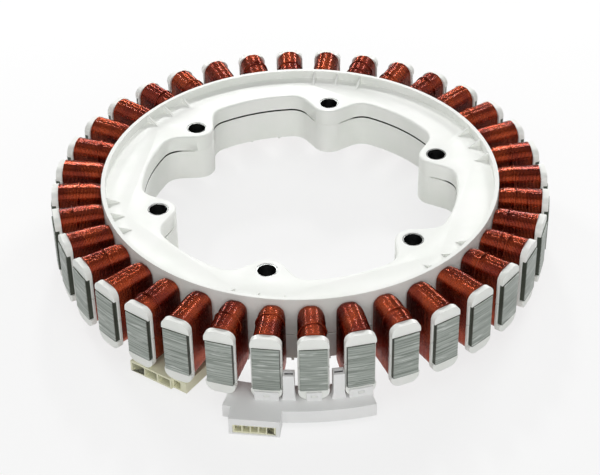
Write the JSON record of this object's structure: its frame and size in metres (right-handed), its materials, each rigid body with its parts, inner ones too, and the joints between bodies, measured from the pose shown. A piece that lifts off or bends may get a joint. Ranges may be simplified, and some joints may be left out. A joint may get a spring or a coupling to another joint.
{
  "type": "wound motor stator",
  "caption": "Wound stator of an outer-rotor washer motor: toothed steel core between white insulators, copper coils, bolt bosses, position sensor and power connector.",
  "frame": {"origin": "centre of the bolt circle, on the deck face under the screw heads", "axes": "+Z along the motor's axis, out of the deck; +X through the first tooth; the position sensor is at -Y"},
  "size_m": [0.264, 0.2784, 0.0507],
  "materials": {
    "lamination_steel": "stacked sheet edges, lightly oiled",
    "white_plastic": "moulded, satin",
    "sleeve_steel": "rolled, plain",
    "copper_wire": "enamelled wire, glossy",
    "sensor_plastic": "moulded, satin",
    "circuit_board": "lacquered board",
    "black_epoxy": "moulded epoxy",
    "ivory_plastic": "moulded, satin",
    "tinned_contact": "tinned"
  },
  "bodies": {
    "root": {"lamination_core": "lamination_steel", "upper_insulator": "white_plastic", "lower_insulator": "white_plastic", "bolt_sleeve_1": "sleeve_steel", "bolt_sleeve_2": "sleeve_steel", "bolt_sleeve_3": "sleeve_steel", "bolt_sleeve_4": "sleeve_steel", "bolt_sleeve_5": "sleeve_steel", "bolt_sleeve_6": "sleeve_steel", "coil_u_01": "copper_wire", "coil_u_02": "copper_wire", "coil_u_03": "copper_wire", "coil_u_04": "copper_wire", "coil_u_05": "copper_wire", "coil_u_06": "copper_wire", "coil_u_07": "copper_wire", "coil_u_08": "copper_wire", "coil_u_09": "copper_wire", "coil_u_10": "copper_wire", "coil_u_11": "copper_wire", "coil_u_12": "copper_wire", "coil_v_01": "copper_wire", "coil_v_02": "copper_wire", "coil_v_03": "copper_wire", "coil_v_04": "copper_wire", "coil_v_05": "copper_wire", "coil_v_06": "copper_wire", "coil_v_07": "copper_wire", "coil_v_08": "copper_wire", "coil_v_09": "copper_wire", "coil_v_10": "copper_wire", "coil_v_11": "copper_wire", "coil_v_12": "copper_wire", "coil_w_01": "copper_wire", "coil_w_02": "copper_wire", "coil_w_03": "copper_wire", "coil_w_04": "copper_wire", "coil_w_05": "copper_wire", "coil_w_06": "copper_wire", "coil_w_07": "copper_wire", "coil_w_08": "copper_wire", "coil_w_09": "copper_wire", "coil_w_10": "copper_wire", "coil_w_11": "copper_wire", "coil_w_12": "copper_wire", "hall_sensor_housing": "sensor_plastic", "hall_circuit_board": "circuit_board", "hall_element_left": "black_epoxy", "hall_element_right": "black_epoxy", "hall_connector_header": "ivory_plastic", "hall_connector_pins": "tinned_contact", "power_connector_housing": "ivory_plastic", "power_blade_u": "tinned_contact", "power_blade_v": "tinned_contact", "power_blade_w": "tinned_contact"}
  },
  "joints": []
}
